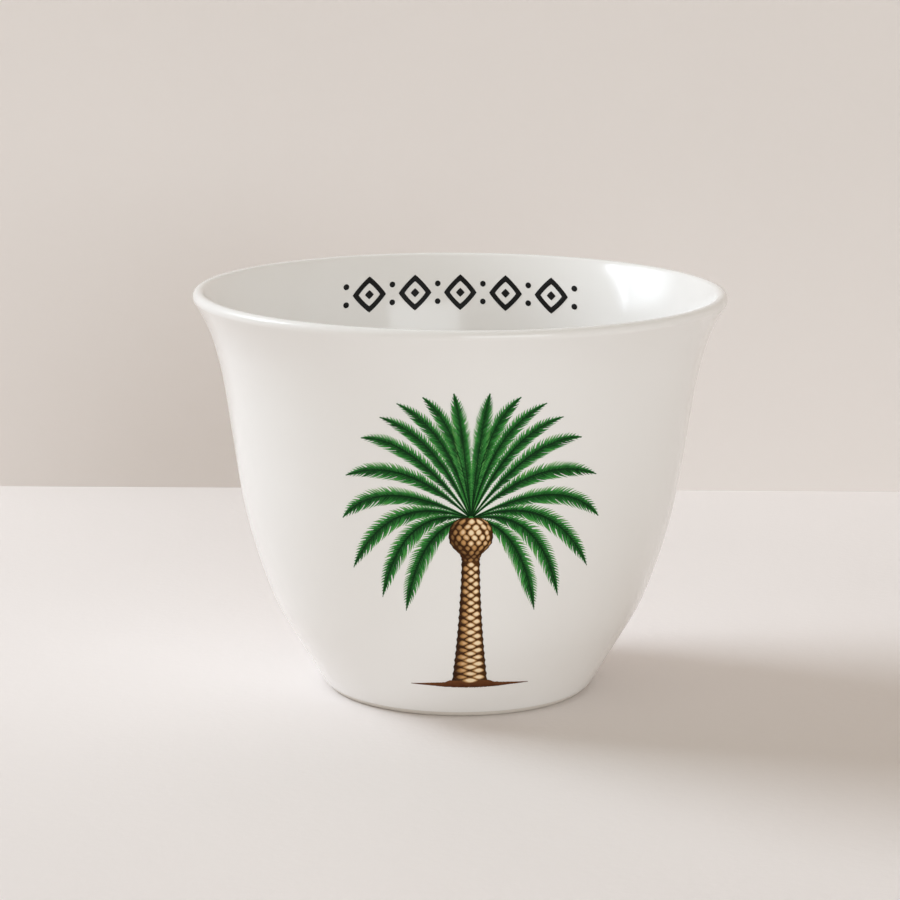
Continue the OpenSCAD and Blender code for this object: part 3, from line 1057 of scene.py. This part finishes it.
def frond_bases(palm, wall):
    """The dense middle of each frond: a strip along its rib, dark inside and lighter outwards.
    It widens next to the crown, where the fronds crowd, and most in the upright ones."""
    across = np.array([-1, -0.5, 0, 0.5, 1])
    along = np.linspace(*BASE_RUN, BASE_LEVELS)
    t = even_shares(palm, along)
    place, heading = rib_points(palm, t)
    order = FROND_ORDER[:, None]
    merged = np.where(order < UPRIGHT_FRONDS, MERGED_UPRIGHT, MERGED_OTHERS) * (1 - t) ** 3
    crowded = np.clip(CROWDED - CROWDED_STEP * order, CROWDED_LEAST, 1) * (1 - t) ** 2
    share = BASE_SHARE + (1 - BASE_SHARE) * crowded
    half = share * frond_half(palm, t) * slim(along) + merged
    right = right_of(heading) * half[..., None]
    strip = place[..., None, :] + right[..., None, :] * across[:, None]
    height = palm.layer * (BASE_STOREY - STOREY_STEP * order[..., None])
    top = np.broadcast_to(height, strip.shape[:-1])
    lift = flat_lift(top, palm.layer)
    points = wall.lay(there_and_back(strip, -2), lift)
    past = [place[:, i] + way * heading[:, i] * 0.05 * MM for i, way in ((0, -1), (-1, 1))]
    ends = [wall.lay(p, top[:, 0, 0]) for p in past]
    tone = MIDDLE_TONE + SIDE_TONE * np.abs(there_and_back(across)) + 0 * lift
    tone = tone + CROWDED_TONE * crowded[..., None]
    return closed_mesh("palm_frond_bases", points, ends, shade=tone, tint=0 * tone)


def build_ribs(scene):
    """The dark ribs: a low ridge carried along each frond's line, thinner towards the tip and
    next to the crown."""
    palm, wall = palm_and_wall(scene)
    t = even_shares(palm, np.linspace(*RIB_RUN, RIB_LEVELS))
    place, ahead = rib_points(palm, t)
    grown = RIB_START + (1 - RIB_START) * np.minimum(t / RIB_FULL_FROM, 1)
    half = palm.rib_width / 2 * (1 - RIB_TAPER * t) * grown
    right = right_of(ahead) * half[..., None]
    top = np.full(t.shape, 0.6 * palm.layer)
    ridge = top + palm.layer * (0.35 - 0.25 * t)
    lift = np.stack([top, ridge, top, 0 * top, 0 * top], axis=-1)
    points = wall.lay(ridge_section(place, right), lift)
    beyond = place[:, -1] + ahead[:, -1] * palm.rib_width / 3
    ends = [wall.lay(p, top[:, 0]) for p in (place[:, 0], beyond)]
    shade = np.broadcast_to((0.25 + 0.25 * t)[..., None], t.shape + (5,))
    piece = closed_mesh("palm_rib_lines", points, ends, shade=shade, tint=0 * shade)
    finish = scene.cup_finish
    stops = ((0.0, finish.rib), (1.0, finish.leaf_dark))
    material = print_material("rib_green", stops, brush_scale=1500, brush=0.2)
    dress(piece, material, "rib_green", "palm_ribs")


class StemLines:
    """The boot and the trunk: heights, scale rows and half widths."""

    def __init__(self, palm):
        self.palm = palm
        self.boot_middle = palm.crown_height + palm.boot_rise - palm.boot_height / 2
        self.top = self.boot_middle - palm.boot_height / 2
        self.ground = palm.ground_height
        self.rows = round((self.top - self.ground) / palm.row_height)
        self.row = (self.top - self.ground) / self.rows

    def trunk_half(self, z):
        """Half width of the trunk, which widens with a power of the share of the way down."""
        down = np.clip((self.top - z) / (self.top - self.ground), 0, 1.2)
        top, foot = self.palm.trunk_top_width, self.palm.trunk_foot_width
        return (top + (foot - top) * down**FLARE_POWER) / 2

    def boot_rows(self):
        """Heights of the rows of plates on the boot, from the top one down."""
        return self.boot_middle + self.palm.boot_height / 2 * np.array(BOOT_ROW_SHARES)

    def boot_half(self, z):
        """Half width of the boot at height z."""
        share = (z - self.boot_middle) / (self.palm.boot_height / 2)
        return self.palm.boot_width / 2 * np.interp(share, BOOT_Z_SHARES, BOOT_W_SHARES)


def stem_shade(angle):
    """Painted light on the round stem: brightest a little to the right, dark at the left."""
    lit = np.maximum(np.cos(angle - STEM_LIGHT_ANGLE), 0) ** 2
    return STEM_SHADOW + (1 - STEM_SHADOW) * lit


def build_trunk(scene):
    """The bark under the scales: a flat cross-section carried up the trunk and the boot, whose
    half width waves in and out once for each row of scales."""
    palm, wall = palm_and_wall(scene)
    stem = StemLines(palm)
    z = np.concatenate(
        [
            np.linspace(stem.ground - TRUNK_SUNK, stem.top, 8 * stem.rows),
            np.linspace(stem.top, palm.crown_height + palm.boot_rise - BOOT_TRIM, 90)[1:],
        ]
    )
    trunk = z <= stem.top
    dent = palm.scale_gap * DENT_SHARE
    trunk_half = stem.trunk_half(np.minimum(z, stem.top))
    trunk_half = trunk_half - dent * np.abs(np.cos(math.pi * (stem.top - z) / stem.row)) + dent / 3
    rows = stem.boot_rows()
    index = np.interp(-z, -rows, np.arange(len(rows)))
    boot_half = stem.boot_half(z) - dent / 2 * np.abs(np.sin(math.pi * index))
    neck = palm.trunk_top_width / 2 * (z < stem.top + NECK_RISE)
    half = np.where(trunk, trunk_half, np.maximum(boot_half, neck))
    across = np.linspace(-1, 1, 13)
    x = half[:, None] * across
    bark = palm.layer
    top = np.broadcast_to(bark * (1 - BARK_THINNING * across**4), x.shape)
    ring_x = there_and_back(x)
    ring_z = np.broadcast_to(z[:, None], ring_x.shape)
    points = wall.place(ring_x, ring_z, flat_lift(top, bark))[None]
    ends = [wall.place(np.zeros(1), z[i : i + 1], np.array([bark / 2])) for i in (0, len(z) - 1)]
    light = stem_shade(np.arcsin(np.clip(across, -0.98, 0.98)))
    shade = np.broadcast_to(there_and_back(light), ring_x.shape)[None]
    piece = closed_mesh("palm_bark", points, ends, shade=shade * BARK_LIGHT, tint=0 * shade)
    finish = scene.cup_finish
    stops = ((0.1, finish.bark_dark), (0.9, finish.bark_light))
    material = print_material("bark_brown", stops, brush_scale=1800, brush=0.3)
    dress(piece, material, "bark_brown", "palm_trunk")


def pillows(wall, stem_half, middles, at, half_angle, half_height, skew, power, low, high):
    """Rings of low pillows on a round stem that is seen from the front.

    Each outline is a superellipse, |x|^p + |z|^p = 1, skewed by x + skew * z. x is a share of
    the pillow's half angle on the stem: with w(z) the stem's half width, the point lies at
    w(z) * sin(at + x * half angle). Its rings shrink to the middle while they rise from low to
    high. Arrays have one value for each pillow.
    """
    ox, oz = superellipse(full_turn(PILLOW_POINTS), power)
    share, rise, bright = (
        np.array(values)[:, None] for values in (PILLOW_SIZES, PILLOW_RISES, PILLOW_TONES)
    )
    x_share, z_share = share * ox, share * oz
    leaning = x_share + skew[:, None, None] * z_share
    angle = at[:, None, None] + leaning * half_angle[:, None, None]
    angle = np.clip(angle, -STEM_EDGE_ANGLE, STEM_EDGE_ANGLE)
    z = middles[:, None, None] + z_share * half_height[:, None, None]
    x = stem_half(z) * np.sin(angle)
    lift = np.broadcast_to(low + (high - low) * rise, x.shape)
    points = wall.place(x, z, lift)
    middle = np.clip(at, -STEM_EDGE_ANGLE, STEM_EDGE_ANGLE)
    mid_x = stem_half(middles) * np.sin(middle)
    ends = [wall.place(mid_x, middles, np.full(mid_x.shape, h)) for h in (low, high)]
    away = np.hypot(x_share - BRIGHT_PLACE[0], z_share - BRIGHT_PLACE[1])
    shade = np.clip(bright * (1.15 - 0.5 * away), 0, 1) * stem_shade(angle)
    return points, ends, shade


def build_scales(scene):
    """The scales: lozenges up the trunk in three columns, and plates round the boot."""
    palm, wall = palm_and_wall(scene)
    stem = StemLines(palm)
    dice = np.random.default_rng(SCALE_SEED)
    low, high = SCALE_LOW * palm.layer, SCALE_HIGH * palm.layer
    rows = np.arange(stem.rows)
    parts = []
    for column in (-1, 0, 1):
        k = rows + 0.5 if column == 0 else rows[1:] + 0.0
        z = stem.top - stem.row * k
        half = stem.trunk_half(z)
        clear = np.full(len(z), SCALE_ANGLE) - palm.scale_gap / 2 / half
        height = np.full(len(z), stem.row / 2 - palm.scale_gap / 4)
        at = np.full(len(z), column * SCALE_ANGLE)
        skew = dice.uniform(-0.12, 0.12, len(z)) + 0.15 * column
        parts.append(
            pillows(wall, stem.trunk_half, z, at, clear, height, skew, SCALE_POWER, low, high)
        )
    boot_z = stem.boot_rows()
    for k, (z, row) in enumerate(zip(boot_z, -np.gradient(boot_z))):
        half = float(stem.boot_half(z))
        turn = math.asin(min(0.9, palm.plate_width * (1 - 0.04 * k) / 2 / half))
        j = np.arange(-BOOT_SIDE_PLATES, BOOT_SIDE_PLATES + 1)
        at = (j + (k % 2) / 2) * 2 * turn
        at = at[np.abs(at) < STEM_EDGE_ANGLE - turn / 4]
        number = len(at)
        at = at + dice.uniform(-0.04, 0.04, number)
        clear = turn * dice.uniform(0.95, 1.12, number)
        height = 0.76 * row * dice.uniform(0.9, 1.1, number)
        places = z + dice.uniform(-0.1, 0.1, number) * row
        skew = dice.uniform(-0.3, 0.3, number)
        over = 0.05 * k * palm.layer
        lifts = (low + over, high + over)
        points, ends, shade = pillows(
            wall, stem.boot_half, places, at, clear, height, skew, PLATE_POWER, *lifts
        )
        parts.append((points, ends, shade * BOOT_ROW_LIGHTS[k]))
    points = np.concatenate([p[0] for p in parts])
    ends = [np.concatenate([p[1][i] for p in parts]) for i in (0, 1)]
    shade = np.concatenate([p[2] for p in parts])
    tint = dice.uniform(-SCALE_TINT, SCALE_TINT, len(points))[:, None, None]
    piece = closed_mesh("palm_stem_scales", points, ends, shade=shade, tint=tint)
    finish = scene.cup_finish
    stops = (
        (0.1, finish.scale_dark),
        (0.48, finish.scale_middle),
        (0.85, finish.scale_light),
    )
    material = print_material("scale_tan", stops, brush_scale=2200, brush=0.1)
    dress(piece, material, "scale_tan", "palm_scales")


def build_ground(scene):
    """The patch of ground: a thin cross-section carried from its left tip to its right tip,
    between an upper and a lower edge that are both a little ragged."""
    palm, wall = palm_and_wall(scene)
    dice = np.random.default_rng(GROUND_SEED)
    share = np.linspace(-GROUND_END, GROUND_END, GROUND_LEVELS)
    rough = dice.normal(0, GROUND_ROUGHNESS, (2, len(share))) * (1 - np.abs(share))
    up = np.interp(share, GROUND_X_SHARES, GROUND_TOP_SHARES) + rough[0]
    down = np.interp(share, GROUND_X_SHARES, GROUND_LOW_SHARES) + rough[1]
    across = np.linspace(0, 1, 6)
    height = up[:, None] + (down - up)[:, None] * across
    z = palm.ground_height + palm.ground_thickness * height
    x = np.broadcast_to((share * palm.ground_width / 2)[:, None], z.shape)
    lift = flat_lift(np.full(z.shape, palm.layer * 1.1), palm.layer)
    points = wall.place(there_and_back(x), there_and_back(z), lift)[None]
    tip_x = np.array([[-1.0], [1.0]]) * palm.ground_width / 2
    tip_z = palm.ground_height + palm.ground_thickness * GROUND_TOP_SHARES[0]
    ends = [wall.place(one, np.array([tip_z]), np.array([palm.layer / 2])) for one in tip_x]
    tone = np.broadcast_to(0.7 - 0.5 * across, z.shape)
    shade = there_and_back(tone)[None]
    piece = closed_mesh("palm_earth", points, ends, shade=shade, tint=0 * shade)
    finish = scene.cup_finish
    stops = ((0.0, finish.ground_dark), (1.0, finish.ground_light))
    material = print_material("ground_brown", stops, brush_scale=1300, brush=0.5)
    dress(piece, material, "ground_brown", "palm_ground")


def build_ornament(scene):
    """The row of framed lozenges and dots inside the cup. A frame is a low cross-section carried
    round the lozenge, and hearts and dots are low pillows."""
    row, wall = scene.inner_ornament, CupLines(scene.cup_shape).inner_wall()
    paint = scene.palm_print.layer
    middle = scene.cup_shape.height - row.drop
    width, height, line = row.lozenge_width, row.lozenge_height, row.line_width
    inner = 1 - 2 * line * math.hypot(width, height) / (width * height)
    at = (np.arange(row.lozenges) - (row.lozenges - 1) / 2) * row.pitch
    ox, oz = superellipse(full_turn(FRAME_POINTS), LOZENGE_POWER)
    share = np.array([inner, inner + 0.06, (1 + inner) / 2, 0.97, 1, 1, inner])
    rise = np.array([0.6, 0.9, 1, 0.9, 0.6, SUNK_SHARE, SUNK_SHARE]) * paint
    x = at[:, None, None] + width / 2 * ox[:, None] * share
    z = middle + height / 2 * oz[:, None] * share + 0 * x
    frames = wall.place(x, z, rise + 0 * x)
    frame = closed_mesh("inner_lozenges", frames, shade=np.full(x.shape, 0.5), tint=0 * x)
    spots_x = (np.arange(row.lozenges + 1) - row.lozenges / 2) * row.pitch
    spots_x = np.concatenate([at, spots_x, spots_x])
    number, dots = len(spots_x), row.lozenges + 1
    quarter = height / 4
    spots_z = middle + np.concatenate([0 * at, np.full(dots, quarter), np.full(dots, -quarter)])
    radius = np.where(np.arange(number) < len(at), line, line * DOT_SHARE)
    a = full_turn(DOT_POINTS)
    heart_x, heart_z = superellipse(a, LOZENGE_POWER)
    is_heart = (np.arange(number) < len(at))[:, None, None]
    ring_x = np.where(is_heart, heart_x, np.cos(a))
    ring_z = np.where(is_heart, heart_z, np.sin(a))
    share = np.array(DOT_SIZES)[:, None]
    lift = np.array(DOT_RISES)[:, None] * paint
    x = spots_x[:, None, None] + radius[:, None, None] * ring_x * share
    z = spots_z[:, None, None] + radius[:, None, None] * ring_z * share
    points = wall.place(x, z, lift + 0 * x)
    ends = [wall.place(spots_x, spots_z, np.full(number, h)) for h in (SUNK_SHARE * paint, paint)]
    spots = closed_mesh("inner_dots", points, ends, shade=np.full(x.shape, 0.5), tint=0 * x)
    finish = scene.cup_finish
    stops = ((0.0, finish.black), (1.0, tuple(2 * c for c in finish.black)))
    material = print_material("ornament_black", stops, brush_scale=1200, brush=0.4)
    dress(frame, material, "band_black", "inner_band")
    dress(spots, material, "band_black", "inner_band")


def stage_material(name, paint, mottle, grain_height):
    """Plain plaster: matt, mottled down to a share of its paint, and see-through from its back."""
    material = bpy.data.materials.new(name)
    material.use_nodes = True
    tree = material.node_tree
    shader = tree.nodes["Principled BSDF"]
    place = add(tree, "ShaderNodeTexCoord", -900, 0)
    cloud = add(tree, "ShaderNodeTexNoise", -700, 100)
    grain = add(tree, "ShaderNodeTexNoise", -700, -200)
    cloud.inputs["Scale"].default_value = MOTTLE_SCALE
    grain.inputs["Scale"].default_value = PLASTER_GRAIN_SCALE
    grain.inputs["Detail"].default_value = 5
    bump = add(tree, "ShaderNodeBump", -300, -200)
    bump.inputs["Distance"].default_value = grain_height
    mottled = mix_colours(tree, cloud.outputs["Fac"], paint, [mottle * c for c in paint])
    tree.links.new(mottled, shader.inputs["Base Color"])
    shader.inputs["Roughness"].default_value = PLASTER_ROUGHNESS
    back = add(tree, "ShaderNodeNewGeometry", 100, 300)
    clear = add(tree, "ShaderNodeBsdfTransparent", 100, -300)
    either = add(tree, "ShaderNodeMixShader", 400, 0)
    join(
        tree,
        (place, "Object", cloud, "Vector"),
        (place, "Object", grain, "Vector"),
        (grain, "Fac", bump, "Height"),
        (bump, "Normal", shader, "Normal"),
        (back, "Backfacing", either, "Fac"),
        (shader, "BSDF", either, 1),
        (clear, "BSDF", either, 2),
        (either, "Shader", tree.nodes["Material Output"], "Surface"),
    )
    return material


def sheet(name, corners, material):
    """A flat sheet between four corners, with its material."""
    mesh = bpy.data.meshes.new(name)
    mesh.from_pydata(corners, [], [(0, 1, 2, 3)])
    mesh.materials.append(material)
    piece = new_object(name, mesh)
    return piece


def area_light(name, place, target, size, power, tint, spread):
    """A square lamp at a place, aimed at a target, that shines within an angle, its spread."""
    data = bpy.data.lights.new(name, "AREA")
    data.size, data.energy, data.color, data.spread = size, power, tint, spread
    lamp = new_object(name, data)
    lamp.location = place
    lamp.rotation_euler = (Vector(target) - Vector(place)).to_track_quat("-Z", "Y").to_euler()


def build_stage(scene):
    """Floor and wall, a soft light from the left, a large one in front, even light from all
    round, and the camera."""
    studio = scene.studio_set
    far, back = STAGE_REACH, studio.wall_distance
    floor = stage_material("floor_plaster", studio.floor, FLOOR_MOTTLE, 0.05 * MM)
    wall = stage_material("wall_plaster", studio.wall, WALL_MOTTLE, 0.03 * MM)
    sheet("studio_floor", [(-far, -far, 0), (far, -far, 0), (far, back, 0), (-far, back, 0)], floor)
    upright = [(-far, back, 0), (far, back, 0), (far, back, far), (-far, back, far)]
    sheet("studio_wall", upright, wall).visible_shadow = False
    middle = (0, 0, scene.cup_shape.height / 2)
    area_light("key", KEY_PLACE, middle, KEY_SIZE, studio.key_power, KEY_COLOUR, KEY_SPREAD)
    area_light("fill", FILL_PLACE, middle, FILL_SIZE, studio.fill_power, FILL_COLOUR, math.pi)
    world = bpy.data.worlds.new("studio_world")
    world.use_nodes = True
    tree = world.node_tree
    light = tree.nodes["Background"]
    light.inputs["Color"].default_value = (*AMBIENT_COLOUR, 1)
    light.inputs["Strength"].default_value = studio.ambient
    shown = add(tree, "ShaderNodeBackground", 0, -200)
    shown.inputs["Color"].default_value = (*BEYOND_COLOUR, 1)
    path = add(tree, "ShaderNodeLightPath", -600, 200)
    seen = add(tree, "ShaderNodeMath", -300, 200, operation="ADD", use_clamp=True)
    either = add(tree, "ShaderNodeMixShader", 200, 0)
    join(
        tree,
        (path, "Is Camera Ray", seen, 0),
        (path, "Is Glossy Ray", seen, 1),
        (seen, "Value", either, "Fac"),
        (light, "Background", either, 1),
        (shown, "Background", either, 2),
        (either, "Shader", tree.nodes["World Output"], "Surface"),
    )
    scene.world = world
    scene.view_settings.view_transform = "Standard"
    build_camera(scene)


def build_camera(scene):
    """The camera at the photograph's angle. Its axes are right, up and back, rolled about the
    way it looks: (sin yaw cos pitch, cos yaw cos pitch, -sin pitch)."""
    look = Vector(
        (
            math.sin(CAMERA_YAW) * math.cos(CAMERA_PITCH),
            math.cos(CAMERA_YAW) * math.cos(CAMERA_PITCH),
            -math.sin(CAMERA_PITCH),
        )
    )
    right = Vector((math.cos(CAMERA_YAW), -math.sin(CAMERA_YAW), 0))
    up = right.cross(look)
    rolled_right = math.cos(CAMERA_ROLL) * right + math.sin(CAMERA_ROLL) * up
    rolled_up = math.cos(CAMERA_ROLL) * up - math.sin(CAMERA_ROLL) * right
    data = bpy.data.cameras.new("photo_camera")
    data.sensor_width = SENSOR_MM
    data.lens = FOCAL_PX * SENSOR_MM / PHOTO_PX
    data.clip_start, data.clip_end = 10 * MM, 20
    camera = bpy.data.objects.new("photo_camera", data)
    scene.collection.objects.link(camera)
    turn = Matrix((rolled_right, rolled_up, -look)).transposed()
    place = Vector((0, -CAMERA_DISTANCE, CAMERA_HEIGHT))
    camera.matrix_world = Matrix.Translation(place) @ turn.to_4x4()
    scene.camera = camera


class CUP_OT_body(bpy.types.Operator):
    """Build the fired porcelain body"""

    bl_idname = "cup.body"
    bl_label = "Fired body"

    def execute(self, context):
        build_body(context.scene)
        return {"FINISHED"}


class CUP_OT_glaze(bpy.types.Operator):
    """Build the coat of glaze and the patch in the foot's recess"""

    bl_idname = "cup.glaze"
    bl_label = "Glaze"

    def execute(self, context):
        build_glaze(context.scene)
        build_foot_glaze(context.scene)
        return {"FINISHED"}


class CUP_OT_fronds(bpy.types.Operator):
    """Build the palm's leaflets and ribs"""

    bl_idname = "cup.fronds"
    bl_label = "Fronds"

    def execute(self, context):
        build_fronds(context.scene)
        build_ribs(context.scene)
        return {"FINISHED"}


class CUP_OT_stem(bpy.types.Operator):
    """Build the palm's trunk, boot and scales"""

    bl_idname = "cup.stem"
    bl_label = "Trunk and scales"

    def execute(self, context):
        build_trunk(context.scene)
        build_scales(context.scene)
        return {"FINISHED"}


class CUP_OT_ground(bpy.types.Operator):
    """Build the patch of ground under the palm"""

    bl_idname = "cup.ground"
    bl_label = "Ground"

    def execute(self, context):
        build_ground(context.scene)
        return {"FINISHED"}


class CUP_OT_ornament(bpy.types.Operator):
    """Build the row of lozenges inside the cup"""

    bl_idname = "cup.ornament"
    bl_label = "Inner ornament"

    def execute(self, context):
        build_ornament(context.scene)
        return {"FINISHED"}


class CUP_OT_stage(bpy.types.Operator):
    """Build the floor, the wall, the lights and the camera"""

    bl_idname = "cup.stage"
    bl_label = "Studio set"

    def execute(self, context):
        build_stage(context.scene)
        return {"FINISHED"}


OPERATORS = (
    CUP_OT_body,
    CUP_OT_glaze,
    CUP_OT_fronds,
    CUP_OT_stem,
    CUP_OT_ground,
    CUP_OT_ornament,
    CUP_OT_stage,
)
GROUPS = {
    "cup_shape": CupShape,
    "palm_print": PalmPrint,
    "inner_ornament": InnerOrnament,
    "cup_finish": CupFinish,
    "studio_set": StudioSet,
}


class CUP_PT_panel(bpy.types.Panel):
    """Sizes, colours and build steps of the coffee cup"""

    bl_label = "Coffee Cup"
    bl_idname = "CUP_PT_panel"
    bl_space_type = "VIEW_3D"
    bl_region_type = "UI"
    bl_category = "Coffee Cup"

    def draw(self, context):
        for operator in OPERATORS:
            self.layout.operator(operator.bl_idname)
        for key, group in GROUPS.items():
            box = self.layout.box()
            box.label(text=group.__doc__)
            for name in group.__annotations__:
                box.prop(getattr(context.scene, key), name)


def register():
    for kind in (*GROUPS.values(), *OPERATORS, CUP_PT_panel):
        bpy.utils.register_class(kind)
    for key, group in GROUPS.items():
        setattr(bpy.types.Scene, key, PointerProperty(type=group))


def unregister():
    for key in GROUPS:
        delattr(bpy.types.Scene, key)
    for kind in (CUP_PT_panel, *reversed(OPERATORS), *reversed(GROUPS.values())):
        bpy.utils.unregister_class(kind)


def main():
    """Registers the classes and builds every piece and the stage."""
    register()
    for operator in OPERATORS:
        group, name = operator.bl_idname.split(".")
        getattr(getattr(bpy.ops, group), name)()


if __name__ == "__main__":
    main()
